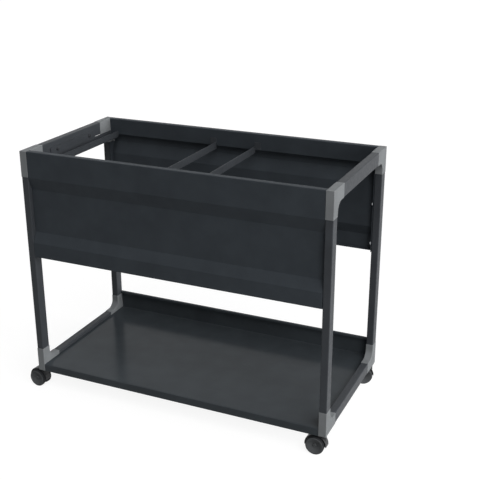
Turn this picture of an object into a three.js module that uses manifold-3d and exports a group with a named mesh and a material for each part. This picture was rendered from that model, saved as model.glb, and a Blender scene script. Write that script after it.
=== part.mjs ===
// Mobile file cart: two tubular end frames joined by folded side panels and a low shelf,
// with file rails across the top and a twin-wheel swivel caster under each corner.
// Millimetres, +Z up, +X along the length, -Y to the front.
// The origin lies on the floor under the middle of the frame.
import * as THREE from 'three';
import { mergeVertices } from 'three/addons/utils/BufferGeometryUtils.js';
import Module from 'manifold-3d';

// File rows: two rows side by side set the length of the cart
const FILE_RAIL_SPACING = 330; // clear width between the two rails of one row
const CENTRE_GAP = 124; // clear width between the two rows
const END_CHANNEL_WIDTH = 27; // from an end rail to the corner connectors
const RAIL_DROP = 36; // rim down to the top edge of the rails
const RAIL_HEIGHT = 20;
const RAIL_EAR_RISE = 20; // ear on the outer leaf of an end rail, above its inner leaf
const RAIL_EAR_MARGIN = 30; // ear past the rail's screws, along the beam
const RAIL_TAB_WIDTH = 18;
const RAIL_TAB_RISE = 12; // end tab above the top edge of a centre rail
const RAIL_END_GAP = 0.3;

// Frame
const DEPTH = 438; // over the corner connectors
const FRAME_HEIGHT = 656; // underside of the frame to the rim
const TUBE_WIDTH = 20;
const TUBE_WALL = 1.5;
const POST_DEPTH = 30;
const TOP_BEAM_HEIGHT = 36;
const BOTTOM_BEAM_HEIGHT = 31;

// Corner connectors
const CONNECTOR_PROUD = 0.5; // connector face above the tube face
const TOP_POST_ARM = 35; // reach past the beam, along the post
const BOTTOM_POST_ARM = 38;
const BEAM_ARM = 44; // reach past the post, along the beam
const CONNECTOR_FILLET = 24;
const SPIGOT_LENGTH = 28;
const SPIGOT_CLEARANCE = 0.3;

// Side panels, from the rim down
const SHEET = 1.5;
const BAND_HEIGHT = 72;
const UPPER_SLANT_HEIGHT = 36;
const FIELD_HEIGHT = 121;
const LOWER_SLANT_HEIGHT = 29;
const LIP_HEIGHT = 43;
const RECESS_DEPTH = 13;
const HEM_DEPTH = 18; // rim flange, folded inwards
const HEM_DROP = 46; // inner leaf of the rim flange
const FOOT_FLANGE = 12; // bottom edge, folded inwards
const SIDE_CLEARANCE = 0.3; // panel, rail and shelf ends to the connectors

// Shelf
const SHELF_RISE = 21; // underside of the frame to the top of the shelf
const SHELF_BACK_HEIGHT = 58;
const SHELF_HEM = 9;
const SHELF_HEM_DROP = 7;

// Screws
const HEAD_RADIUS = 4.6;
const HEAD_HEIGHT = 4.5;
const SHANK_RADIUS = 2;
const SHANK_LENGTH = 11;
const SOCKET_RADIUS = 1.6;
const SOCKET_DEPTH = 2;
const SCREW_CLEARANCE = 0.3;
const LOWER_SCREW_RISE = 26; // bottom edge of a panel to its lower screw
const PANEL_SCREW_SPACING = 114;
const BEAM_SCREW_SPACING = 160; // rail and shelf screws, along a beam

// Casters
const WHEEL_RADIUS = 25;
const WHEEL_WIDTH = 12.5;
const TREAD_BEVEL = 3;
const RIM_WIDTH = 4;
const DISH_DEPTH = 7.5;
const HUB_WALL = 1;
const HUB_CAP = 1; // over the end of the axle
const WHEEL_SIDE_GAP = 0.5;
const WEB_WALL = 1.3; // each side of the stem
const WEB_INSET = 6; // web below the hood, short of the tread
const HOOD_GAP = 3; // tread to hood
const HOOD_WALL = 1.5;
const HOOD_REACH = 5; // hood over each wheel, from the web
const HOOD_FROM = -5; // degrees, on the stem side, from level
const HOOD_TO = 188;
const HOOD_TO_FRAME = 1.5;
const AXLE_RADIUS = 3;
const PIN_CLEARANCE = 0.2; // axle and stem in the housing, axle in the wheels
const AXLE_DEPTH = 8; // axle into each wheel
const TRAIL = 19.5; // stem axis to axle axis
const STEM_RADIUS = 4;
const STEM_CLEARANCE = 0.35;
const STEM_REACH = 30; // stem up into the connector
const BOSS_WALL = 4;
const BOSS_GAP = 0.4; // boss to connector
const STEM_FOOT = 6; // foot of the stem above the axle axis
const FRONT_LEFT_TURN = -5; // resting turns, in degrees from trailing to the left
const FRONT_RIGHT_TURN = 0;
const BACK_LEFT_TURN = -4;
const BACK_RIGHT_TURN = 30;

// Facets on round pieces
const WHEEL_FACETS = 28;
const PIN_FACETS = 16;
const SCREW_FACETS = 10;
const ARC_FACETS = 12;

// Places worked out from the sizes above
const CONNECTOR_WIDTH = TUBE_WIDTH + 2 * CONNECTOR_PROUD;
const CONNECTOR_DEPTH = POST_DEPTH + 2 * CONNECTOR_PROUD;
const RAIL_X = CENTRE_GAP / 2 + FILE_RAIL_SPACING;
const CONNECTOR_X = RAIL_X + END_CHANNEL_WIDTH; // inner face of the connectors
const OUTER_X = CONNECTOR_X + CONNECTOR_WIDTH;
const TUBE_X = CONNECTOR_X + CONNECTOR_PROUD; // inner face of the tubes
const INSERT_X = CONNECTOR_X - SIDE_CLEARANCE; // ends of the panels, shelf and rails
const OUTER_Y = DEPTH / 2;
const FACE_Y = OUTER_Y - CONNECTOR_PROUD; // outer faces of the posts and panels
const WEB_THICKNESS = 2 * (STEM_RADIUS + PIN_CLEARANCE + WEB_WALL);
const HOOD_INNER = WHEEL_RADIUS + HOOD_GAP;
const HOOD_RADIUS = HOOD_INNER + HOOD_WALL;
const FRAME_BOTTOM = WHEEL_RADIUS + HOOD_RADIUS + HOOD_TO_FRAME;
const FRAME_TOP = FRAME_BOTTOM + FRAME_HEIGHT;
const BEAM_END_Y = OUTER_Y - CONNECTOR_DEPTH - BEAM_ARM;
const PANEL_FALL = BAND_HEIGHT + UPPER_SLANT_HEIGHT + FIELD_HEIGHT + LOWER_SLANT_HEIGHT + LIP_HEIGHT;
const PANEL_BOTTOM = FRAME_TOP - PANEL_FALL;
const RAIL_TOP = FRAME_TOP - RAIL_DROP;
const RAIL_END_Y = FACE_Y - HEM_DEPTH - RAIL_END_GAP;
const SHELF_TOP = FRAME_BOTTOM + SHELF_RISE;

const wasm = await Module();
wasm.setup();

const finish = (color, roughness, metalness) =>
  new THREE.MeshStandardMaterial({ color, roughness, metalness });
const TUBE_PAINT = finish(0x3a3d41, 0.5, 0.1);
const PANEL_PAINT = finish(0x2c3035, 0.5, 0.1);
const SHELF_PAINT = finish(0x34383c, 0.4, 0.1);
const CORNER_PLASTIC = finish(0x707478, 0.55, 0);
const ZINC = finish(0xc4c7ca, 0.3, 0.9);
const BLACK_OXIDE = finish(0x202123, 0.45, 0.6);
const WHEEL_PLASTIC = finish(0x3a3c3e, 0.45, 0);
const HOUSING_PLASTIC = finish(0x2b2c2e, 0.4, 0);

// Local axes of an extrusion: the outline's x and y, then the direction it is pulled in
const ALONG_X = [new THREE.Vector3(0, 1, 0), new THREE.Vector3(0, 0, 1), new THREE.Vector3(1, 0, 0)];
const ALONG_Y = [new THREE.Vector3(1, 0, 0), new THREE.Vector3(0, 0, 1), new THREE.Vector3(0, -1, 0)];
const ALONG_Z = [new THREE.Vector3(1, 0, 0), new THREE.Vector3(0, 1, 0), new THREE.Vector3(0, 0, 1)];

// Signed volume of an indexed closed mesh
function signedVolume(positions, index) {
  const corner = (i) => new THREE.Vector3().fromArray(positions, 3 * index[i]);
  let sum = 0;
  for (let i = 0; i < index.length; i += 3) {
    sum += corner(i).dot(corner(i + 1).cross(corner(i + 2)));
  }
  return sum / 6;
}

// Closed solid of a geometry, with shared vertices merged and faces pointing out
function solid(geometry) {
  const bare = geometry.clone();
  bare.deleteAttribute('normal');
  bare.deleteAttribute('uv');
  const merged = mergeVertices(bare, 1e-4);
  const positions = merged.attributes.position.array;
  const index = [];
  for (let i = 0; i < merged.index.count; i += 3) {
    const [a, b, c] = [0, 1, 2].map((k) => merged.index.getX(i + k));
    if (a !== b && b !== c && c !== a) index.push(a, b, c);
  }
  if (signedVolume(positions, index) < 0) index.reverse();
  const mesh = new wasm.Mesh({
    numProp: 3,
    vertProperties: new Float32Array(positions),
    triVerts: new Uint32Array(index),
  });
  return new wasm.Manifold(mesh);
}

// Geometry of a solid
function geometryOf(body) {
  const mesh = body.getMesh();
  const geometry = new THREE.BufferGeometry();
  geometry.setAttribute('position', new THREE.BufferAttribute(mesh.vertProperties, 3));
  geometry.setIndex(new THREE.BufferAttribute(mesh.triVerts, 1));
  geometry.computeVertexNormals();
  return geometry;
}

const join = (first, ...others) => others.reduce((sum, other) => sum.add(other), first);
const cut = (first, ...others) => others.reduce((rest, other) => rest.subtract(other), first);

// Block between two corners
function block(x0, x1, y0, y1, z0, z1) {
  const geometry = new THREE.BoxGeometry(x1 - x0, y1 - y0, z1 - z0);
  return solid(geometry.translate((x0 + x1) / 2, (y0 + y1) / 2, (z0 + z1) / 2));
}

// Outline pulled from one place to another along one of the three directions
function pulled(shape, axes, from, to) {
  const options = { depth: Math.abs(to - from), bevelEnabled: false, curveSegments: ARC_FACETS };
  const geometry = new THREE.ExtrudeGeometry(shape, options);
  geometry.applyMatrix4(new THREE.Matrix4().makeBasis(...axes));
  const start = axes === ALONG_Y ? Math.max(from, to) : Math.min(from, to);
  const [dx, dy, dz] = axes[2].toArray().map((v) => Math.abs(v) * start);
  return solid(geometry.translate(dx, dy, dz));
}

// Round bar between two places along X, Y or Z, centred on the two other coordinates
function bar(axis, radius, from, to, centre, facets = PIN_FACETS) {
  const geometry = new THREE.CylinderGeometry(radius, radius, to - from, facets, 1, false, Math.PI / facets);
  if (axis === 'x') geometry.rotateZ(-Math.PI / 2);
  if (axis === 'z') geometry.rotateX(Math.PI / 2);
  const middle = (from + to) / 2;
  const places = { x: [middle, ...centre], y: [centre[0], middle, centre[1]], z: [...centre, middle] };
  return solid(geometry.translate(...places[axis]));
}

// Rectangle in an outline's own plane
function rectangle(x0, x1, y0, y1) {
  const corners = [[x0, y0], [x1, y0], [x1, y1], [x0, y1]];
  return corners.map(([x, y]) => new THREE.Vector2(x, y));
}

// Rectangular tube along one direction, open at both ends
function tube(axes, from, to, u0, u1, v0, v1) {
  const shape = new THREE.Shape(rectangle(u0, u1, v0, v1));
  const w = TUBE_WALL;
  shape.holes.push(new THREE.Path(rectangle(u0 + w, u1 - w, v0 + w, v1 - w).reverse()));
  return pulled(shape, axes, from, to);
}

// Closed outline of a folded sheet, from the path of one face and the thickness to its left
function foldedSheet(points, thickness) {
  const path = points.map(([x, y]) => new THREE.Vector2(x, y));
  const normals = [];
  for (let i = 0; i + 1 < path.length; i += 1) {
    const run = path[i + 1].clone().sub(path[i]).normalize();
    normals.push(new THREE.Vector2(-run.y, run.x));
  }
  const inner = path.map((point, i) => {
    const before = normals[Math.max(i - 1, 0)];
    const after = normals[Math.min(i, normals.length - 1)];
    const mitre = before.clone().add(after).divideScalar(1 + before.dot(after));
    return point.clone().addScaledVector(mitre, thickness);
  });
  return new THREE.Shape([...path, ...inner.reverse()]);
}

// Solid mirrored to the left for a negative sx and to the front for a negative sy
function mirrored(body, sx, sy) {
  return solid(geometryOf(body).scale(sx, sy, 1));
}

const cart = new THREE.Group();
cart.name = 'mobile_file_cart';

// Adds one named piece to a group
function addPiece(name, body, material, group = cart) {
  const mesh = new THREE.Mesh(geometryOf(body), material);
  mesh.name = name;
  group.add(mesh);
  return mesh;
}

const SIDES = [['left', -1], ['right', 1]];
const FACES = [['front', -1], ['back', 1]];

// Calls make(side, sx, face, sy) once for each corner of the cart
function forCorners(make) {
  for (const [side, sx] of SIDES) {
    for (const [face, sy] of FACES) make(side, sx, face, sy);
  }
}

// Heights of the two screws that hold one end of a panel
const PANEL_SCREWS = [
  ['lower', PANEL_BOTTOM + LOWER_SCREW_RISE],
  ['upper', PANEL_BOTTOM + LOWER_SCREW_RISE + PANEL_SCREW_SPACING],
];
const PANEL_SCREW_Y = (FACE_Y - RECESS_DEPTH - SHEET + OUTER_Y - CONNECTOR_DEPTH) / 2;
const RAIL_SCREW_Z = (FRAME_TOP - CONNECTOR_PROUD - TOP_BEAM_HEIGHT + RAIL_TOP + RAIL_EAR_RISE) / 2;
const SHELF_SCREW_Z = (FRAME_BOTTOM + SHELF_TOP - SHEET) / 2;
const BEAM_SCREW_Y = BEAM_SCREW_SPACING / 2;

// Screw holes in the right-hand end frame and in what is fastened to it
function screwHole(y, z) {
  const radius = SHANK_RADIUS + SCREW_CLEARANCE;
  const x0 = INSERT_X - 2 * SHEET;
  return bar('x', radius, x0, TUBE_X + 2 * TUBE_WALL, [y, z], SCREW_FACETS);
}
const panelHoles = PANEL_SCREWS.map(([, z]) => screwHole(PANEL_SCREW_Y, z));
const railHoles = FACES.map(([, sy]) => screwHole(sy * BEAM_SCREW_Y, RAIL_SCREW_Z));
const shelfHoles = FACES.map(([, sy]) => screwHole(sy * BEAM_SCREW_Y, SHELF_SCREW_Z));

// Posts and beams of the end frames
const postBottom = FRAME_BOTTOM + BOTTOM_BEAM_HEIGHT + 2 * CONNECTOR_PROUD + BOTTOM_POST_ARM;
const postTop = FRAME_TOP - TOP_BEAM_HEIGHT - 2 * CONNECTOR_PROUD - TOP_POST_ARM;
const tubeOuterX = TUBE_X + TUBE_WIDTH;
const post = cut(
  tube(ALONG_Z, postBottom, postTop, TUBE_X, tubeOuterX, FACE_Y - POST_DEPTH, FACE_Y),
  ...panelHoles,
);
const topBeamZ = FRAME_TOP - CONNECTOR_PROUD;
const topBeam = cut(
  tube(ALONG_Y, -BEAM_END_Y, BEAM_END_Y, TUBE_X, tubeOuterX, topBeamZ - TOP_BEAM_HEIGHT, topBeamZ),
  ...railHoles,
);
const bottomBeamZ = FRAME_BOTTOM + CONNECTOR_PROUD;
const bottomBeam = cut(
  tube(ALONG_Y, -BEAM_END_Y, BEAM_END_Y, TUBE_X, tubeOuterX, bottomBeamZ, bottomBeamZ + BOTTOM_BEAM_HEIGHT),
  ...shelfHoles,
);

// Corner connector, drawn from its outer corner with u along the beam and v along the post
function cornerBody(beamHeight, postArm) {
  const height = beamHeight + 2 * CONNECTOR_PROUD;
  const beamReach = CONNECTOR_DEPTH + BEAM_ARM;
  const postReach = height + postArm;
  const fillet = Math.min(CONNECTOR_FILLET, BEAM_ARM, postArm);
  const shape = new THREE.Shape();
  shape.moveTo(0, 0);
  shape.lineTo(beamReach, 0);
  shape.lineTo(beamReach, height);
  shape.lineTo(CONNECTOR_DEPTH + fillet, height);
  shape.absarc(CONNECTOR_DEPTH + fillet, height + fillet, fillet, -Math.PI / 2, -Math.PI, true);
  shape.lineTo(CONNECTOR_DEPTH, postReach);
  shape.lineTo(0, postReach);
  const skin = CONNECTOR_PROUD + TUBE_WALL + SPIGOT_CLEARANCE;
  const x0 = CONNECTOR_X + skin;
  const x1 = OUTER_X - skin;
  const beamSpigotEnd = beamReach + SPIGOT_LENGTH;
  const postSpigotEnd = postReach + SPIGOT_LENGTH;
  return join(
    pulled(shape, ALONG_X, CONNECTOR_X, OUTER_X),
    block(x0, x1, beamReach - skin, beamSpigotEnd, skin, height - skin),
    block(x0, x1, skin, CONNECTOR_DEPTH - skin, postReach - skin, postSpigotEnd),
  );
}

// Turns a connector over into the back right corner, hanging from or standing on a level
function inCorner(body, level, up) {
  const geometry = geometryOf(body).scale(1, -1, up).translate(0, OUTER_Y, level);
  return solid(geometry);
}
const stemX = OUTER_X - CONNECTOR_WIDTH / 2;
const stemY = OUTER_Y - CONNECTOR_DEPTH / 2;
const stemBore = bar(
  'z',
  STEM_RADIUS + STEM_CLEARANCE,
  FRAME_BOTTOM - STEM_CLEARANCE,
  FRAME_BOTTOM + STEM_REACH + STEM_CLEARANCE,
  [stemX, stemY],
);
const topCorner = inCorner(cornerBody(TOP_BEAM_HEIGHT, TOP_POST_ARM), FRAME_TOP, -1);
const bottomCorner = cut(
  inCorner(cornerBody(BOTTOM_BEAM_HEIGHT, BOTTOM_POST_ARM), FRAME_BOTTOM, 1),
  stemBore,
);

for (const [side, sx] of SIDES) {
  addPiece(`top_beam_${side}`, mirrored(topBeam, sx, 1), TUBE_PAINT);
  addPiece(`bottom_beam_${side}`, mirrored(bottomBeam, sx, 1), TUBE_PAINT);
}
forCorners((side, sx, face, sy) => {
  addPiece(`post_${face}_${side}`, mirrored(post, sx, sy), TUBE_PAINT);
  addPiece(`top_corner_${face}_${side}`, mirrored(topCorner, sx, sy), CORNER_PLASTIC);
  addPiece(`bottom_corner_${face}_${side}`, mirrored(bottomCorner, sx, sy), CORNER_PLASTIC);
});

// Back panel: one sheet folded along its length, with a flange at each end against the posts
function sidePanel() {
  const bandEnd = FRAME_TOP - BAND_HEIGHT;
  const fieldTop = bandEnd - UPPER_SLANT_HEIGHT;
  const fieldEnd = fieldTop - FIELD_HEIGHT;
  const lipTop = PANEL_BOTTOM + LIP_HEIGHT;
  const recessY = FACE_Y - RECESS_DEPTH;
  const face = [
    [FACE_Y, bandEnd],
    [recessY, fieldTop],
    [recessY, fieldEnd],
    [FACE_Y, lipTop],
    [FACE_Y, PANEL_BOTTOM],
  ];
  const rim = [
    [FACE_Y - HEM_DEPTH, FRAME_TOP - HEM_DROP],
    [FACE_Y - HEM_DEPTH, FRAME_TOP],
    [FACE_Y, FRAME_TOP],
  ];
  const foot = [[FACE_Y - FOOT_FLANGE, PANEL_BOTTOM]];
  const path = [...rim, ...face, ...foot].reverse();
  const sheet = pulled(foldedSheet(path, SHEET), ALONG_X, -INSERT_X, INSERT_X);
  const flangeY = FACE_Y - POST_DEPTH;
  const flangeOutline = [...face, [flangeY, PANEL_BOTTOM], [flangeY, bandEnd]];
  const flangeShape = new THREE.Shape(flangeOutline.map(([y, z]) => new THREE.Vector2(y, z)));
  const flange = cut(pulled(flangeShape, ALONG_X, INSERT_X - SHEET, INSERT_X), ...panelHoles);
  return join(sheet, flange, mirrored(flange, -1, 1));
}
const backPanel = sidePanel();
for (const [face, sy] of FACES) addPiece(`${face}_panel`, mirrored(backPanel, 1, sy), PANEL_PAINT);

// Shelf: front edge folded down, back edge folded up, a flange down each beam
function shelfBody() {
  const wallTop = SHELF_TOP + SHELF_BACK_HEIGHT;
  const path = [
    [-FACE_Y, FRAME_BOTTOM],
    [-FACE_Y, SHELF_TOP],
    [FACE_Y - SHEET, SHELF_TOP],
    [FACE_Y - SHEET, wallTop - SHEET],
    [FACE_Y - SHELF_HEM + SHEET, wallTop - SHEET],
    [FACE_Y - SHELF_HEM + SHEET, wallTop - SHELF_HEM_DROP],
  ].reverse();
  const sheet = pulled(foldedSheet(path, SHEET), ALONG_X, -INSERT_X, INSERT_X);
  const flange = cut(
    block(INSERT_X - SHEET, INSERT_X, -FACE_Y, FACE_Y, FRAME_BOTTOM, SHELF_TOP),
    ...shelfHoles,
  );
  return join(sheet, flange, mirrored(flange, -1, 1));
}
addPiece('shelf', shelfBody(), SHELF_PAINT);

// End rail: a channel whose inner leaf carries one end of the row, screwed to the beam by an ear
function endRail() {
  const floor = RAIL_TOP - RAIL_HEIGHT;
  const path = [
    [RAIL_X, RAIL_TOP],
    [RAIL_X, floor],
    [INSERT_X, floor],
    [INSERT_X, RAIL_TOP],
  ];
  const channel = pulled(foldedSheet(path, SHEET), ALONG_Y, -RAIL_END_Y, RAIL_END_Y);
  const earY = BEAM_SCREW_Y + RAIL_EAR_MARGIN;
  const earBottom = RAIL_TOP - SHEET; // runs down into the leaf it grows from
  const ear = block(INSERT_X - SHEET, INSERT_X, -earY, earY, earBottom, RAIL_TOP + RAIL_EAR_RISE);
  return cut(join(channel, ear), ...railHoles);
}

// Centre rail: a strip on edge with a tab turned at each end against the panel hems
function centreRail() {
  const x1 = CENTRE_GAP / 2;
  const x0 = x1 - SHEET;
  const tabTop = RAIL_TOP + RAIL_TAB_RISE;
  const tab = block(x0, x0 + RAIL_TAB_WIDTH, RAIL_END_Y - SHEET, RAIL_END_Y, FRAME_TOP - HEM_DROP, tabTop);
  const strip = block(x0, x1, -RAIL_END_Y, RAIL_END_Y, RAIL_TOP - RAIL_HEIGHT, RAIL_TOP);
  return join(strip, tab, mirrored(tab, 1, -1));
}
for (const [side, sx] of SIDES) {
  addPiece(`end_rail_${side}`, mirrored(endRail(), sx, 1), TUBE_PAINT);
  addPiece(`centre_rail_${side}`, mirrored(centreRail(), sx, 1), TUBE_PAINT);
}

// Button-head screw along X with its head against the inner side of a fastened sheet
function screw(y, z) {
  const profile = [
    [0, -HEAD_HEIGHT + SOCKET_DEPTH],
    [SOCKET_RADIUS, -HEAD_HEIGHT + SOCKET_DEPTH],
    [SOCKET_RADIUS, -HEAD_HEIGHT],
    [HEAD_RADIUS - HEAD_HEIGHT / 3, -HEAD_HEIGHT],
    [HEAD_RADIUS, -HEAD_HEIGHT / 2],
    [HEAD_RADIUS, 0],
    [SHANK_RADIUS, 0],
    [SHANK_RADIUS, SHANK_LENGTH],
    [0, SHANK_LENGTH],
  ];
  const points = profile.map(([r, along]) => new THREE.Vector2(r, along));
  const geometry = new THREE.LatheGeometry(points, SCREW_FACETS);
  return solid(geometry.rotateZ(-Math.PI / 2).translate(INSERT_X - SHEET, y, z));
}
forCorners((side, sx, face, sy) => {
  for (const [level, z] of PANEL_SCREWS) {
    addPiece(`panel_screw_${face}_${side}_${level}`, mirrored(screw(PANEL_SCREW_Y, z), sx, sy), ZINC);
  }
  addPiece(`rail_screw_${face}_${side}`, mirrored(screw(BEAM_SCREW_Y, RAIL_SCREW_Z), sx, sy), BLACK_OXIDE);
  addPiece(`shelf_screw_${face}_${side}`, mirrored(screw(BEAM_SCREW_Y, SHELF_SCREW_Z), sx, sy), BLACK_OXIDE);
});

// Caster housing about its axle: a web between the wheels, a hood over them and a stem boss
function casterHousing() {
  const hoodShape = new THREE.Shape();
  hoodShape.moveTo(0, 0);
  hoodShape.absarc(0, 0, HOOD_RADIUS, ...[HOOD_FROM, HOOD_TO].map(THREE.MathUtils.degToRad), false);
  const half = WEB_THICKNESS / 2;
  const hoodEnd = half + HOOD_REACH;
  const bossTop = FRAME_BOTTOM - BOSS_GAP - WHEEL_RADIUS;
  const room = (y0, y1) => bar('y', HOOD_INNER, y0, y1, [0, 0], WHEEL_FACETS);
  const body = join(
    pulled(hoodShape, ALONG_Y, -hoodEnd, hoodEnd),
    bar('y', WHEEL_RADIUS - WEB_INSET, -half, half, [0, 0]),
    bar('z', STEM_RADIUS + BOSS_WALL, 0, bossTop, [TRAIL, 0]),
  );
  return cut(
    body,
    room(half, hoodEnd + HOOD_WALL),
    room(-hoodEnd - HOOD_WALL, -half),
    bar('y', AXLE_RADIUS + PIN_CLEARANCE, -hoodEnd, hoodEnd, [0, 0]),
    bar('z', STEM_RADIUS + PIN_CLEARANCE, STEM_FOOT - PIN_CLEARANCE, FRAME_BOTTOM, [TRAIL, 0]),
  );
}

// Wheel about its axle, with a blind bore from the web side and a conical dish round the hub
function casterWheel() {
  const tread = WHEEL_RADIUS / Math.cos(Math.PI / WHEEL_FACETS);
  const bore = (AXLE_RADIUS + PIN_CLEARANCE) / Math.cos(Math.PI / WHEEL_FACETS);
  const boreEnd = AXLE_DEPTH + PIN_CLEARANCE;
  const hub = bore + HUB_WALL;
  const hubEnd = boreEnd + HUB_CAP;
  const profile = [
    [0, boreEnd],
    [bore, boreEnd],
    [bore, 0],
    [tread - TREAD_BEVEL, 0],
    [tread, TREAD_BEVEL],
    [tread, WHEEL_WIDTH - TREAD_BEVEL],
    [tread - TREAD_BEVEL, WHEEL_WIDTH],
    [tread - RIM_WIDTH, WHEEL_WIDTH],
    [hub, WHEEL_WIDTH - DISH_DEPTH],
    [hub, hubEnd],
    [0, hubEnd],
  ];
  const points = profile.map(([r, along]) => new THREE.Vector2(r, along));
  const geometry = new THREE.LatheGeometry(points, WHEEL_FACETS, Math.PI / WHEEL_FACETS);
  return solid(geometry);
}

// Resting turn of each caster
const RESTING_TURNS = {
  front_left: FRONT_LEFT_TURN,
  front_right: FRONT_RIGHT_TURN,
  back_left: BACK_LEFT_TURN,
  back_right: BACK_RIGHT_TURN,
};

// One caster on its stem axis, with two wheels on one axle
function addCaster(side, sx, face, sy) {
  const name = `caster_${face}_${side}`;
  const caster = new THREE.Group();
  caster.position.set(sx * stemX, sy * stemY, WHEEL_RADIUS);
  caster.rotation.z = THREE.MathUtils.degToRad(RESTING_TURNS[`${face}_${side}`]);
  cart.add(caster);
  const axleGroup = new THREE.Group();
  axleGroup.position.x = -TRAIL;
  caster.add(axleGroup);
  const webFace = WEB_THICKNESS / 2;
  const wheelStart = webFace + WHEEL_SIDE_GAP;
  const axleEnd = wheelStart + AXLE_DEPTH;
  const stemTop = FRAME_BOTTOM + STEM_REACH - WHEEL_RADIUS;
  addPiece(`${name}_stem`, bar('z', STEM_RADIUS, STEM_FOOT, stemTop, [0, 0]), ZINC, caster);
  addPiece(`${name}_housing`, casterHousing(), HOUSING_PLASTIC, axleGroup);
  addPiece(`${name}_axle`, bar('y', AXLE_RADIUS, -axleEnd, axleEnd, [0, 0]), ZINC, axleGroup);
  for (const [place, out] of [['outer', sy], ['inner', -sy]]) {
    const wheel = addPiece(`${name}_${place}_wheel`, casterWheel(), WHEEL_PLASTIC, axleGroup);
    wheel.position.y = out * wheelStart;
    wheel.rotation.z = out > 0 ? 0 : Math.PI;
  }
}
forCorners(addCaster);

export default cart;
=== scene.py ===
"""Looks of the mobile file cart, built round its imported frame.

Lengths are metres: +Z up, +X along the cart, -Y to the front, the floor at Z = 0.
"""

import logging
import math
from dataclasses import dataclass
from enum import Enum
from functools import cache
from itertools import product
from typing import Sequence

import bmesh
import bpy
from bmesh.types import BMesh, BMVert
from bpy.types import ID, Material, Mesh, Node, NodeSocket, NodeTree, Object
from mathutils import Matrix, Quaternion, Vector


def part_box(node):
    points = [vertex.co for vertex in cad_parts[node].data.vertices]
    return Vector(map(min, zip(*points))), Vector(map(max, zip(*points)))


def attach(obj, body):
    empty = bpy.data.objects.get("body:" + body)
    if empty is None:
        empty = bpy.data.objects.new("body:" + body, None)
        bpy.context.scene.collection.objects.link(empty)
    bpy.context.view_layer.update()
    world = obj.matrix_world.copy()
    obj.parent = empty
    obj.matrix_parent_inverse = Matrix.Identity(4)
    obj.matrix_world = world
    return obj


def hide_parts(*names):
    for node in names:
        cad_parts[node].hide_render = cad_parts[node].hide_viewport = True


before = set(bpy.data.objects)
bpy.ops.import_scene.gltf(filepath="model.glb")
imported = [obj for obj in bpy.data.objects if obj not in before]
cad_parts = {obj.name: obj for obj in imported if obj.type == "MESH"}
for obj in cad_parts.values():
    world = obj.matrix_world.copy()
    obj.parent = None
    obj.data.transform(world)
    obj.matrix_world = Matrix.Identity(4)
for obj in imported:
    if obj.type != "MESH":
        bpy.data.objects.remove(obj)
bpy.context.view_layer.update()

MM = 0.001
TINY = 1e-6  # metres; a shorter length counts as none
STRAIGHT = 1e-4  # radians; a smaller turn needs no arc
ARC_STEP = math.radians(12)  # turn between two points of an arc
SMOOTH_TURN = math.radians(32)  # faces that meet at less than this shade as one
EDGE_TURN = math.radians(40)  # faces that meet at more than this share an edge to break
FACING = 0.999  # cosine above which a face looks straight in a direction
LOG = logging.getLogger("file_cart")

Point = tuple[float, float]
Colour = tuple[float, ...]
Station = tuple[Vector, Vector]


class Way(Enum):
    """Choice that is part of node names."""

    @property
    def word(self) -> str:
        """The choice as node names spell it."""
        return self.name.lower()


class Side(Way):
    """End of the cart, with the sign of its X."""

    LEFT = -1
    RIGHT = 1


class Face(Way):
    """Long face of the cart, with the sign of its Y."""

    FRONT = -1
    BACK = 1


class Axis(Enum):
    """Direction in which a section is drawn out, with the axes of the section itself."""

    X = (0, 1, 2)
    Y = (1, 0, 2)
    Z = (2, 0, 1)

    def place(self, along: float, u: float, v: float) -> Vector:
        """Point at a distance along the direction and at (u, v) in the section."""
        by_axis = dict(zip(self.value, (along, u, v)))
        return Vector((by_axis[0], by_axis[1], by_axis[2]))


class Joint(Enum):
    """What a building block does to a body, by the name of Blender's boolean operation."""

    FUSE = "UNION"
    CUT = "DIFFERENCE"


def srgb(red: int, green: int, blue: int) -> Colour:
    """Linear colour of an 8-bit screen colour."""
    shares = [value / 255 for value in (red, green, blue)]
    return tuple(((s + 0.055) / 1.055) ** 2.4 if s > 0.04045 else s / 12.92 for s in shares)


CLOUDS_PER_PATCH = 7  # clouds of gloss across one patch of tone
GRAIN_FLATNESS = 3  # width of a grain over its height
RINGS_PER_GRAIN = 0.3
GLOSS_RANGE = (0.3, 0.7)  # noise at the glossiest and the dullest spots
TONE_STOPS = (0.32, 0.68)  # noise at the darker and the lighter tone


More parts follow.
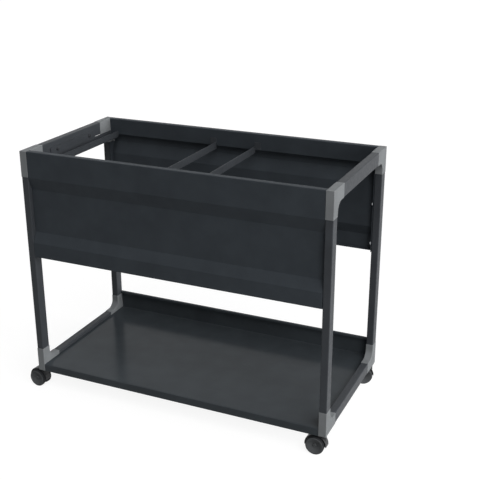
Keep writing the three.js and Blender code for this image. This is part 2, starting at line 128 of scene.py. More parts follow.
@dataclass(frozen=True)
class Finish:
    """Even colour with slow mottling, uneven gloss and a fine relief."""

    name: str
    colour: Colour
    roughness: float
    grain: float = 0.8 * MM
    relief: float = 0.14
    specular: float = 0.5
    metallic: float = 0.0
    mottle: float = 0.08
    patch: float = 60 * MM
    gloss_spread: float = 0.06

    @cache
    def material(self) -> Material:
        """Material of this finish, made on first use.

        Returns:
            The material, shared by every piece that takes this finish.
        """
        made = bpy.data.materials.new(self.name)
        made.use_nodes = True
        tree = made.node_tree
        shader = tree.nodes["Principled BSDF"]
        shader.inputs["Specular IOR Level"].default_value = self.specular
        shader.inputs["Metallic"].default_value = self.metallic
        place = tree.nodes.new("ShaderNodeTexCoord")
        patches = self._noise(tree, place, self.patch, detail=4.0)
        tree.links.new(self._tone(tree, patches), shader.inputs["Base Color"])
        clouds = self._noise(tree, place, self.patch / CLOUDS_PER_PATCH, detail=3.0)
        gloss = tree.nodes.new("ShaderNodeMapRange")
        gloss.inputs["From Min"].default_value = GLOSS_RANGE[0]
        gloss.inputs["From Max"].default_value = GLOSS_RANGE[1]
        gloss.inputs["To Min"].default_value = self.roughness - self.gloss_spread
        gloss.inputs["To Max"].default_value = self.roughness + self.gloss_spread
        tree.links.new(clouds, gloss.inputs["Value"])
        tree.links.new(gloss.outputs["Result"], shader.inputs["Roughness"])
        bump = tree.nodes.new("ShaderNodeBump")
        bump.inputs["Strength"].default_value = self.relief
        bump.inputs["Distance"].default_value = self.grain / GRAIN_FLATNESS
        tree.links.new(self._height(tree, place), bump.inputs["Height"])
        tree.links.new(bump.outputs["Normal"], shader.inputs["Normal"])
        return made

    def _texture(self, tree: NodeTree, place: Node, kind: str, **values: float) -> Node:
        """Adds a texture in the object's own coordinates.

        Args:
            tree: Node tree of the material.
            place: Texture coordinate node.
            kind: Type of the texture node.
            values: Values of its inputs, by name.

        Returns:
            The texture node.
        """
        texture = tree.nodes.new(kind)
        for name, value in values.items():
            texture.inputs[name].default_value = value
        tree.links.new(place.outputs["Object"], texture.inputs["Vector"])
        return texture

    def _noise(self, tree: NodeTree, place: Node, size: float, detail: float) -> NodeSocket:
        """Adds a noise with features of a given size and octaves of finer noise on top."""
        noise = self._texture(tree, place, "ShaderNodeTexNoise", Scale=1 / size, Detail=detail)
        return noise.outputs["Fac"]

    def _tone(self, tree: NodeTree, patches: NodeSocket) -> NodeSocket:
        """Adds the ramp from the darker to the lighter tone of the colour.

        Args:
            tree: Node tree of the material.
            patches: Value that chooses the tone.

        Returns:
            The ramp's colour socket.
        """
        ramp = tree.nodes.new("ShaderNodeValToRGB")
        stops = ramp.color_ramp.elements
        for stop, at, factor in zip(stops, TONE_STOPS, (1 - self.mottle, 1 + self.mottle)):
            stop.position = at
            stop.color = (*(channel * factor for channel in self.colour), 1.0)
        tree.links.new(patches, ramp.inputs["Fac"])
        return ramp.outputs["Color"]

    def _height(self, tree: NodeTree, place: Node) -> NodeSocket:
        """Adds the height of the fine relief, here soft dimples as in a baked powder coat."""
        return self._noise(tree, place, self.grain, detail=2.0)


@dataclass(frozen=True)
class MouldedFinish(Finish):
    """Moulded plastic with the cells of a spark-eroded tool."""

    def _height(self, tree: NodeTree, place: Node) -> NodeSocket:
        """Adds the height of the cells of the mould."""
        cells = self._texture(tree, place, "ShaderNodeTexVoronoi", Scale=1 / self.grain)
        return cells.outputs["Distance"]


@dataclass(frozen=True)
class TurnedFinish(Finish):
    """Surface with faint rings about the Y axis of its own object."""

    def _height(self, tree: NodeTree, place: Node) -> NodeSocket:
        """Adds the height of the rings.

        Args:
            tree: Node tree of the material.
            place: Texture coordinate node.

        Returns:
            Height socket for the bump.
        """
        values = {"Scale": RINGS_PER_GRAIN / self.grain, "Distortion": 0.4}
        rings = self._texture(tree, place, "ShaderNodeTexWave", **values)
        rings.wave_type = "RINGS"
        rings.rings_direction = "Y"
        return rings.outputs["Fac"]


TUBE_PAINT = Finish("charcoal_tube_coat", srgb(65, 68, 72), roughness=0.44, specular=0.08)
PANEL_PAINT = Finish("charcoal_panel_coat", srgb(61, 66, 71), roughness=0.5, specular=0.05)
SHELF_PAINT = Finish(
    "charcoal_shelf_coat", srgb(62, 67, 71),
    roughness=0.18, relief=0.012, specular=0.06, gloss_spread=0.03,
)
RAIL_PAINT = Finish("charcoal_rail_coat", srgb(62, 65, 69), roughness=0.46, specular=0.15)
CORNER_PLASTIC = MouldedFinish(
    "grey_moulding", srgb(128, 131, 133),
    roughness=0.6, grain=0.5 * MM, relief=0.12, specular=0.08,
)
HOUSING_PLASTIC = MouldedFinish(
    "charcoal_moulding", srgb(34, 35, 37),
    roughness=0.4, grain=0.4 * MM, relief=0.06, specular=0.32,
)
WHEEL_PLASTIC = TurnedFinish(
    "grey_wheel_disc", srgb(86, 88, 90),
    roughness=0.5, grain=0.6 * MM, relief=0.06, specular=0.04,
)
TREAD_RUBBER = MouldedFinish(
    "dark_tread", srgb(42, 43, 45),
    roughness=0.6, grain=0.5 * MM, relief=0.15, specular=0.06,
)
SCREW_ZINC = TurnedFinish(
    "bright_zinc", srgb(205, 207, 210),
    roughness=0.32, grain=0.3 * MM, relief=0.08, metallic=1.0, patch=4 * MM,
)
SCREW_BLACK = TurnedFinish(
    "black_oxide", srgb(58, 60, 63),
    roughness=0.5, grain=0.3 * MM, relief=0.08, specular=0.08, patch=4 * MM,
)
PIN_STEEL = Finish(
    "drawn_steel", srgb(176, 179, 183),
    roughness=0.35, grain=0.5 * MM, relief=0.1, metallic=1.0, patch=6 * MM,
)


def fillet(points: Sequence[Point], radii: Sequence[float]) -> list[Station]:
    """Open path with an arc in place of each inner corner.

    Args:
        points: Corners of the path.
        radii: Arc radius at each corner; the two ends and zeros stay sharp.

    Returns:
        Points along the path, each with the normal to its left.
    """
    path = [Vector(point) for point in points]
    runs = [(b - a).normalized() for a, b in zip(path, path[1:])]
    left = [Vector((-run.y, run.x)) for run in runs]
    stations: list[Station] = [(path[0], left[0])]
    for i in range(1, len(path) - 1):
        before, after = left[i - 1], left[i]
        turn = math.atan2(runs[i - 1].cross(runs[i]), runs[i - 1].dot(runs[i]))
        radius = radii[i]
        if radius <= 0 or abs(turn) < STRAIGHT:
            mitre = (before + after) / (1 + before.dot(after))
            stations.append((path[i], mitre))
            continue
        start = path[i] - runs[i - 1] * radius * math.tan(abs(turn) / 2)
        centre = start + before * math.copysign(radius, turn)
        count = max(2, math.ceil(abs(turn) / ARC_STEP))
        for k in range(count + 1):
            spin = Matrix.Rotation(turn * k / count, 2)
            stations.append((centre + spin @ (start - centre), spin @ before))
    stations.append((path[-1], left[-1]))
    return stations


def traced(corners: Sequence[tuple[Point, float]]) -> list[Point]:
    """Open path through corners that each come with the radius of their arc."""
    stations = fillet([point for point, _ in corners], [radius for _, radius in corners])
    return [(p.x, p.y) for p, _ in stations]


def rounded(points: Sequence[Point], radius: float) -> list[Point]:
    """Open path with the same arc at each inner corner."""
    return traced([(point, radius) for point in points])


def rounded_box(u0: float, u1: float, v0: float, v1: float, radius: float) -> list[Point]:
    """Closed outline of a rectangle with rounded corners.

    Args:
        u0: Lowest u.
        u1: Highest u.
        v0: Lowest v.
        v1: Highest v.
        radius: Corner radius.

    Returns:
        Corner points, counter-clockwise.
    """
    middle = (u0 + u1) / 2
    corners = [(middle, v0), (u1, v0), (u1, v1), (u0, v1), (u0, v0), (middle, v0)]
    return rounded(corners, radius)[:-1]


def skin(
    bm: BMesh, first: Sequence[BMVert], second: Sequence[BMVert], closed: bool = True
) -> None:
    """Faces between two rows of vertices.

    Args:
        bm: Mesh that takes the faces.
        first: One row.
        second: The other row, of the same length.
        closed: Whether the rows run round to their start.
    """
    count = len(first)
    for i in range(count if closed else count - 1):
        j = (i + 1) % count
        bm.faces.new((first[i], first[j], second[j], second[i]))


def drawn_out(
    bm: BMesh, axis: Axis, outline: Sequence[Point], start: float, end: float
) -> None:
    """Solid of a closed outline drawn out along an axis.

    Args:
        bm: Mesh that takes the solid.
        axis: Direction.
        outline: Closed outline in the section.
        start: Where it starts along the axis.
        end: Where it ends.
    """
    rows = [[bm.verts.new(axis.place(at, u, v)) for u, v in outline] for at in (start, end)]
    skin(bm, rows[0], rows[1])
    for row in rows:
        bm.faces.new(row)


def pin_profile(radius: float, start: float, end: float) -> list[Point]:
    """Profile (radius, along) of a plain round pin, from axis to axis."""
    return [(0.0, start), (radius, start), (radius, end), (0.0, end)]


def lathe(bm: BMesh, profile: Sequence[Point], segments: int) -> None:
    """Solid of revolution about the local Y axis.

    Args:
        bm: Mesh that takes the solid.
        profile: Points (radius, along), from axis to axis.
        segments: Steps round the axis.
    """
    rows = []
    for radius, along in profile:
        if radius < TINY:
            rows.append([bm.verts.new((0.0, along, 0.0))])
            continue
        turns = [2 * math.pi * k / segments for k in range(segments)]
        ring = [(radius * math.cos(t), along, radius * math.sin(t)) for t in turns]
        rows.append([bm.verts.new(point) for point in ring])
    for first, second in zip(rows, rows[1:]):
        if len(first) == len(second):
            skin(bm, first, second)
            continue
        tip, ring = (first[0], second) if len(first) == 1 else (second[0], first)
        for k, vertex in enumerate(ring):
            bm.faces.new((tip, vertex, ring[(k + 1) % segments]))


def finished_mesh(name: str, bm: BMesh, finishes: Sequence[Finish]) -> Mesh:
    """Mesh of a closed bmesh with its faces turned out, its bends smooth and its edges sharp.

    Args:
        name: Name of the mesh.
        bm: Closed mesh, freed here.
        finishes: Finishes in the order of the faces' material indices.

    Returns:
        The mesh.
    """
    bmesh.ops.recalc_face_normals(bm, faces=bm.faces[:])
    mesh = bpy.data.meshes.new(name)
    bm.to_mesh(mesh)
    bm.free()
    for finish in finishes:
        mesh.materials.append(finish.material())
    mesh.polygons.foreach_set("use_smooth", [True] * len(mesh.polygons))
    mesh.set_sharp_from_angle(angle=SMOOTH_TURN)
    return mesh


def linked(name: str, data: ID) -> Object:
    """Object that brings a mesh, a lamp or a camera into the scene.

    Args:
        name: Name of the object.
        data: The mesh, lamp or camera.

    Returns:
        The object.
    """
    made = bpy.data.objects.new(name, data)
    bpy.context.scene.collection.objects.link(made)
    return made


def add_piece(
    name: str,
    mesh: Mesh,
    nodes: Sequence[str] = (),
    body: str = "frame",
    place: Matrix | None = None,
) -> Object:
    """Puts one piece into the scene and ties it to the frame.

    Args:
        name: Name of the piece.
        mesh: Its finished mesh.
        nodes: CAD nodes that the piece stands for.
        body: CAD body that the piece moves with.
        place: Where the mesh's own axes lie, if not at the origin.

    Returns:
        The piece.
    """
    piece = linked(name, mesh)
    if place is not None:
        piece.matrix_world = place
    bpy.context.view_layer.update()
    normals = piece.modifiers.new("flat_faces", "WEIGHTED_NORMAL")
    normals.keep_sharp = True
    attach(piece, body)
    if nodes:
        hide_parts(*nodes)
    LOG.info("%s: %d faces on %s", name, len(mesh.polygons), body)
    return piece


def dress_node(name: str, finish: Finish, edge: float = 0.0) -> None:
    """Gives a CAD node that stays in view its finish and, where asked, broken edges.

    Args:
        name: Name of the node.
        finish: Finish that it takes.
        edge: Width of the broken edges, or 0.
    """
    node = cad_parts[name]
    node.data.materials.clear()
    node.data.materials.append(finish.material())
    if edge > 0:
        node.modifiers.new("joined_faces", "WELD")
        bevel = node.modifiers.new("broken_edges", "BEVEL")
        bevel.width = edge
        bevel.segments = 2
        bevel.limit_method = "ANGLE"
        bevel.angle_limit = EDGE_TURN
    LOG.info("%s: dressed in %s", name, finish.name)


@dataclass(frozen=True)
class FoldedSheet:
    """Sheet folded along parallel lines, with the path of one face and the sheet to its left."""

    path: tuple[Point, ...]
    thickness: float
    bend: float = 1.7 * MM

    def rails(self) -> tuple[list[Point], list[Point]]:
        """Sections of the two faces, with an arc at each fold.

        Returns:
            Points of the given face, then points of the face to its left.
        """
        half = self.thickness / 2
        sharp = fillet(self.path, [0.0] * len(self.path))
        middle = [tuple(p + n * half) for p, n in sharp]
        stations = fillet(middle, [self.bend] * len(middle))
        given = [tuple(p - n * half) for p, n in stations]
        other = [tuple(p + n * half) for p, n in stations]
        return given, other

    def build(self, bm: BMesh, axis: Axis, start: float, end: float) -> None:
        """Draws the sheet out along an axis.

        Args:
            bm: Mesh that takes the sheet.
            axis: Direction of the folds.
            start: Where the sheet starts.
            end: Where it ends.
        """
        rows = []
        for at in (start, end):
            rows.append([[bm.verts.new(axis.place(at, u, v)) for u, v in r] for r in self.rails()])
        (given0, other0), (given1, other1) = rows
        for pair in ((given0, given1), (other0, other1), (given0, other0), (given1, other1)):
            skin(bm, *pair, closed=False)
        for i in (0, -1):
            bm.faces.new((given0[i], given1[i], other1[i], other0[i]))


def flipped(path: Sequence[Point], sign: int) -> list[Point]:
    """Path with its first coordinate mirrored for a negative sign."""
    return [(sign * u, v) for u, v in path]


@dataclass
class EndFrames:
    """Two upright frames of rectangular tube, joined at their corners by moulded connectors."""

    wall: float = 1.5 * MM
    corner_radius: float = 2.2 * MM
    proud: float = 0.5 * MM
    post_depth: float = 30 * MM
    top_beam_height: float = 36 * MM
    bottom_beam_height: float = 31 * MM
    connector_fillet: float = 24 * MM
    connector_edge: float = 1.1 * MM
    spigot_length: float = 28 * MM
    spigot_clearance: float = 0.3 * MM
    stem_bore: float = 4.35 * MM
    bore_end_gap: float = 0.35 * MM
    bore_segments: int = 32

    def build(self) -> None:
        """Builds every tube and connector."""
        for side in Side:
            for level in ("top", "bottom"):
                self._tube(f"{level}_beam_{side.word}", Axis.Y)
            for face in Face:
                corner = f"{face.word}_{side.word}"
                self._tube(f"post_{corner}", Axis.Z)
                self._connector(f"top_corner_{corner}", face, -1, self.top_beam_height)
                stem = f"caster_{corner}_stem"
                self._connector(f"bottom_corner_{corner}", face, 1, self.bottom_beam_height, stem)

    def _tube(self, node: str, axis: Axis) -> None:
        """Builds one tube with rounded edges and open ends.

        Args:
            node: CAD node that it stands for.
            axis: Direction of the tube.
        """
        low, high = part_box(node)
        along, u, v = axis.value
        bm = bmesh.new()
        rows = []
        for inset in (0.0, self.wall):
            outline = rounded_box(
                low[u] + inset, high[u] - inset, low[v] + inset, high[v] - inset,
                self.corner_radius - inset,
            )
            for at in (low[along], high[along]):
                rows.append([bm.verts.new(axis.place(at, *point)) for point in outline])
        outer0, outer1, inner0, inner1 = rows
        for pair in ((outer0, outer1), (inner0, inner1), (outer0, inner0), (outer1, inner1)):
            skin(bm, *pair)
        add_piece(f"{node}_tube", finished_mesh(node, bm, [TUBE_PAINT]), [node])

    def _connector(
        self, node: str, face: Face, up: int, beam_height: float, stem: str | None = None
    ) -> None:
        """Builds one corner connector with its two spigots.

        Args:
            node: CAD node that it stands for.
            face: Long face that the corner is on.
            up: 1 where the post arm points up, -1 where it points down.
            beam_height: Height of the beam that it joins.
            stem: CAD node of the caster stem that goes up into it, if any.
        """
        low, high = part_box(node)
        depth = self.post_depth + 2 * self.proud
        height = beam_height + 2 * self.proud
        beam_reach = high[1] - low[1] - self.spigot_length
        post_reach = high[2] - low[2] - self.spigot_length
        elbow = [(beam_reach, height), (depth, height), (depth, post_reach)]
        inside = rounded(elbow, self.connector_fillet)
        outline = [(0.0, 0.0), (beam_reach, 0.0), *inside, (0.0, post_reach)]
        outer_y = high[1] if face is Face.BACK else low[1]
        level = low[2] if up > 0 else high[2]
        placed = [(outer_y - face.value * u, level + up * v) for u, v in outline]
        bm = bmesh.new()
        drawn_out(bm, Axis.X, placed, low[0], high[0])
        bmesh.ops.recalc_face_normals(bm, faces=bm.faces[:])
        sharp = [edge for edge in bm.edges if edge.calc_face_angle(0.0) > EDGE_TURN]
        bmesh.ops.bevel(
            bm, geom=sharp, offset=self.connector_edge, segments=3, profile=0.5, affect="EDGES"
        )
        self._spigot(bm, Vector((0.0, -face.value, 0.0)))
        self._spigot(bm, Vector((0.0, 0.0, up)))
        if stem is not None:
            self._stem_bore(bm, stem)
        mesh = finished_mesh(node, bm, [CORNER_PLASTIC])
        add_piece(f"{node}_moulding", mesh, [node])

    def _spigot(self, bm: BMesh, way: Vector) -> None:
        """Draws a spigot out of the end of a connector's arm.

        Args:
            bm: Mesh of the connector.
            way: Direction in which the arm ends.
        """
        ends = [f for f in bm.faces if f.normal.dot(way) > FACING]
        end = max(ends, key=lambda f: f.calc_center_median().dot(way))
        margin = self.proud + self.wall + self.spigot_clearance - self.connector_edge
        bmesh.ops.inset_individual(bm, faces=[end], thickness=margin, depth=0.0)
        drawn = bmesh.ops.extrude_discrete_faces(bm, faces=[end])["faces"]
        bmesh.ops.translate(bm, verts=drawn[0].verts[:], vec=way * self.spigot_length)

    def _stem_bore(self, bm: BMesh, stem: str) -> None:
        """Sinks the bore for a caster stem into the underside of a connector.

        Args:
            bm: Mesh of the connector.
            stem: CAD node of the stem.
        """
        low, high = (Vector(corner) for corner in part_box(stem))
        centre = (low + high) / 2
        facing_down = [f for f in bm.faces if f.normal.z < -FACING]
        under = min(facing_down, key=lambda f: f.calc_center_median().z)
        mouth, end = [], []
        for k in range(self.bore_segments):
            angle = 2 * math.pi * k / self.bore_segments
            x = centre.x + self.stem_bore * math.cos(angle)
            y = centre.y + self.stem_bore * math.sin(angle)
            mouth.append(bm.verts.new((x, y, under.verts[0].co.z)))
            end.append(bm.verts.new((x, y, high.z + self.bore_end_gap)))
        skin(bm, mouth, end)
        bm.faces.new(end)
        rim = [bm.edges.get((mouth[k - 1], mouth[k])) for k in range(self.bore_segments)]
        edges = [*under.edges, *rim]
        bmesh.ops.delete(bm, geom=[under], context="FACES_ONLY")
        bmesh.ops.triangle_fill(bm, edges=edges, use_beauty=True)


@dataclass
class SidePanels:
    """Front and back panel: a folded sheet with a boxed rim, a long recess and end flanges."""

    sheet: float = 1.5 * MM
    band_height: float = 72 * MM
    upper_slant_height: float = 36 * MM
    field_height: float = 121 * MM
    lip_height: float = 43 * MM
    recess_depth: float = 13 * MM
    hem_depth: float = 18 * MM
    hem_drop: float = 46 * MM
    foot_flange: float = 12 * MM
    flange_width: float = 30 * MM
    flange_gap: float = 0.2 * MM

    def build(self) -> None:
        """Builds both panels with their end flanges."""
        for face in Face:
            self._panel(face)

    def _face_path(self, face_y: float, bottom: float, top: float) -> list[Point]:
        """Outer face below the rim, from the band's lower edge down.

        Args:
            face_y: Distance of the outer face from the middle of the cart.
            bottom: Lower edge of the panel.
            top: Rim of the panel.

        Returns:
            Points (distance from the middle, height).
        """
        recess = face_y - self.recess_depth
        field_top = top - self.band_height - self.upper_slant_height
        return [
            (face_y, top - self.band_height),
            (recess, field_top),
            (recess, field_top - self.field_height),
            (face_y, bottom + self.lip_height),
            (face_y, bottom),
        ]

    def _panel(self, face: Face) -> None:
        """Builds one panel and the flanges at its ends.

        Args:
            face: Long face that the panel closes.
        """
        node = f"{face.word}_panel"
        low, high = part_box(node)
        face_y = high[1] if face is Face.BACK else -low[1]
        bottom, top = low[2], high[2]
        body = self._face_path(face_y, bottom, top)
        hem = face_y - self.hem_depth
        rim = [(hem, top - self.hem_drop), (hem, top), (face_y, top)]
        path = [*rim, *body, (face_y - self.foot_flange, bottom)]
        path = flipped(path, face.value)
        if face is Face.BACK:
            path.reverse()
        bm = bmesh.new()
        FoldedSheet(tuple(path), self.sheet).build(bm, Axis.X, low[0], high[0])
        mesh = finished_mesh(node, bm, [PANEL_PAINT])
        add_piece(f"{node}_sheet", mesh, [node])
        inset = self.sheet + self.flange_gap
        outline = [(u - inset, v) for u, v in self._face_path(face_y, bottom + inset, top)]
        back = face_y - self.flange_width
        outline += [(back, bottom + inset), (back, top - self.band_height)]
        outline = flipped(outline, face.value)
        for side in Side:
            end = high[0] if side is Side.RIGHT else low[0]
            bm = bmesh.new()
            drawn_out(bm, Axis.X, outline, end - side.value * self.sheet, end)
            name = f"{node}_end_flange_{side.word}"
            add_piece(name, finished_mesh(name, bm, [PANEL_PAINT]))


@dataclass
class Shelf:
    """Low shelf: front edge folded down, back edge folded up, a flange down each end."""

    sheet: float = 1.5 * MM
    rise: float = 21 * MM
    hem: float = 9 * MM
    hem_drop: float = 7 * MM
    flange_gap: float = 0.2 * MM

    def build(self) -> None:
        """Builds the shelf and its end flanges."""
        low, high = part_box("shelf")
        top = low[2] + self.rise
        wall = high[1] - self.sheet
        wall_top = high[2] - self.sheet
        hem_y = high[1] - self.hem + self.sheet
        path = [
            (hem_y, high[2] - self.hem_drop),
            (hem_y, wall_top),
            (wall, wall_top),
            (wall, top),
            (low[1], top),
            (low[1], low[2]),
        ]
        bm = bmesh.new()
        FoldedSheet(tuple(path), self.sheet).build(bm, Axis.X, low[0], high[0])
        mesh = finished_mesh("shelf", bm, [SHELF_PAINT])
        add_piece("shelf_sheet", mesh, ["shelf"])
        inset = self.sheet + self.flange_gap
        outline = rounded_box(low[1] + inset, high[1] - inset, low[2], top - inset, self.sheet)
        for side in Side:
            end = high[0] if side is Side.RIGHT else low[0]
            bm = bmesh.new()
            drawn_out(bm, Axis.X, outline, end - side.value * self.sheet, end)
            name = f"shelf_end_flange_{side.word}"
            add_piece(name, finished_mesh(name, bm, [SHELF_PAINT]))


@dataclass
class FileRails:
    """Rails along the depth of the cart: a channel at each end and two strips in the middle."""

    sheet: float = 1.5 * MM
    leaf_height: float = 20 * MM
    ear_length: float = 220 * MM
    ear_round: float = 6 * MM
    strip_edge: float = 0.4 * MM

    def build(self) -> None:
        """Builds the end channels and dresses the middle strips."""
        for side in Side:
            self._channel(side)
            dress_node(f"centre_rail_{side.word}", RAIL_PAINT, self.strip_edge)

    def _channel(self, side: Side) -> None:
        """Builds the channel at one end.

        Args:
            side: End of the cart.
        """
        node = f"end_rail_{side.word}"
        low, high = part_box(node)
        inner, outer = (low[0], high[0]) if side is Side.RIGHT else (-high[0], -low[0])
        leaf_top = low[2] + self.leaf_height
        path = [(inner, leaf_top), (inner, low[2]), (outer, low[2]), (outer, leaf_top)]
        path = flipped(path, side.value)
        if side is Side.LEFT:
            path.reverse()
        bm = bmesh.new()
        FoldedSheet(tuple(path), self.sheet).build(bm, Axis.Y, low[1], high[1])
        self._ear(bm, side.value * outer, high[2] - leaf_top)
        add_piece(f"{node}_channel", finished_mesh(node, bm, [RAIL_PAINT]), [node])

    def _ear(self, bm: BMesh, outer: float, rise: float) -> None:
        """Raises the ear that holds a channel to its beam.

        Args:
            bm: Mesh of the channel.
            outer: X of the channel's outer face.
            rise: Height of the ear above the outer leaf.
        """
        for at in (-self.ear_length / 2, self.ear_length / 2):
            whole = [*bm.verts, *bm.edges, *bm.faces]
            bmesh.ops.bisect_plane(bm, geom=whole, plane_co=(0, at, 0), plane_no=(0, 1, 0))
        bmesh.ops.recalc_face_normals(bm, faces=bm.faces[:])
        middle = Vector((outer, 0.0))
        tops = [f for f in bm.faces if f.normal.z > FACING]
        leaf = min(tops, key=lambda f: (f.calc_center_median().xy - middle).length)
        ear = bmesh.ops.extrude_discrete_faces(bm, faces=[leaf])["faces"][0]
        bmesh.ops.translate(bm, verts=ear.verts[:], vec=(0.0, 0.0, rise))
        ends = [e for e in ear.edges if abs(e.verts[0].co.y - e.verts[1].co.y) < TINY]
        bmesh.ops.bevel(
            bm, geom=ends, offset=self.ear_round, segments=6, profile=0.5, affect="EDGES"
        )


@dataclass
class Screws:
    """Button-head screws that hold the panels, rails and shelf to the end frames."""

    head_radius: float = 4.6 * MM
    head_height: float = 4.5 * MM
    head_edge: float = 0.7 * MM
    crown_inset: float = 2.0 * MM
    shoulder_inset: float = 0.3 * MM
    shoulder_drop: float = 1.6 * MM
    side_drop: float = 2.6 * MM
    shank_radius: float = 2.0 * MM
    shank_length: float = 11 * MM
    socket_radius: float = 1.7 * MM
    socket_depth: float = 2.0 * MM
    segments: int = 36
    turn: float = 0.7

    def build(self) -> None:
        """Builds the screws on one mesh for each finish."""
        zinc = self._mesh("zinc_screw", SCREW_ZINC)
        black = self._mesh("black_screw", SCREW_BLACK)
        count = 0
        for side, face in product(Side, Face):
            corner = f"{face.word}_{side.word}"
            for level in ("lower", "upper"):
                self._screw(f"panel_screw_{corner}_{level}", zinc, side, count)
                count += 1
            for holds in ("rail", "shelf"):
                self._screw(f"{holds}_screw_{corner}", black, side, count)
                count += 1

    def _mesh(self, name: str, finish: Finish) -> Mesh:
        """Mesh of a screw along its own Y axis, its head towards -Y.

        Args:
            name: Name of the mesh.
            finish: Finish that it takes.

        Returns:
            The shared mesh.
        """
        top = -self.head_height
        dome = [
            (self.head_radius - self.crown_inset, top),
            (self.head_radius - self.shoulder_inset, top + self.shoulder_drop),
            (self.head_radius, top + self.side_drop),
            (self.head_radius, 0.0),
        ]
        shank = pin_profile(self.shank_radius, 0.0, self.shank_length)[1:]
        profile = [(self.socket_radius, top), *rounded(dome, self.head_edge), *shank]
        bm = bmesh.new()
        lathe(bm, profile, self.segments)
        crown = [v for v in bm.verts if v.co.y < top + TINY]
        rim = [v for v in crown if v.co.xz.length < self.socket_radius + TINY]
        rim.sort(key=lambda v: math.atan2(v.co.z, v.co.x))
        flat = math.pi / 3  # angle that one of the six flats takes up
        floor = []
        for vertex in rim:
            angle = math.atan2(vertex.co.z, vertex.co.x)
            reach = self.socket_radius * math.cos(flat / 2) / math.cos(angle % flat - flat / 2)
            vertex.co.x, vertex.co.z = reach * math.cos(angle), reach * math.sin(angle)
            floor.append(bm.verts.new(vertex.co + Vector((0.0, self.socket_depth, 0.0))))
        skin(bm, rim, floor)
        bm.faces.new(floor)
        return finished_mesh(name, bm, [finish])

    def _screw(self, node: str, mesh: Mesh, side: Side, count: int) -> None:
        """Places one screw.

        Args:
            node: CAD node that it stands for.
            mesh: Shared mesh.
            side: End frame that it goes into.
            count: Screws placed before it, each turned a little further.
        """
        low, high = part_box(node)
        seat = low[0] + self.head_height if side is Side.RIGHT else high[0] - self.head_height
        centre = (Vector(low) + Vector(high)) / 2
        place = Matrix.Translation((seat, centre.y, centre.z))
        into_frame = Matrix.Rotation(-side.value * math.pi / 2, 4, "Z")
        place @= into_frame @ Matrix.Rotation(count * self.turn, 4, "Y")
        add_piece(f"{node}_turned", mesh, [node], place=place)


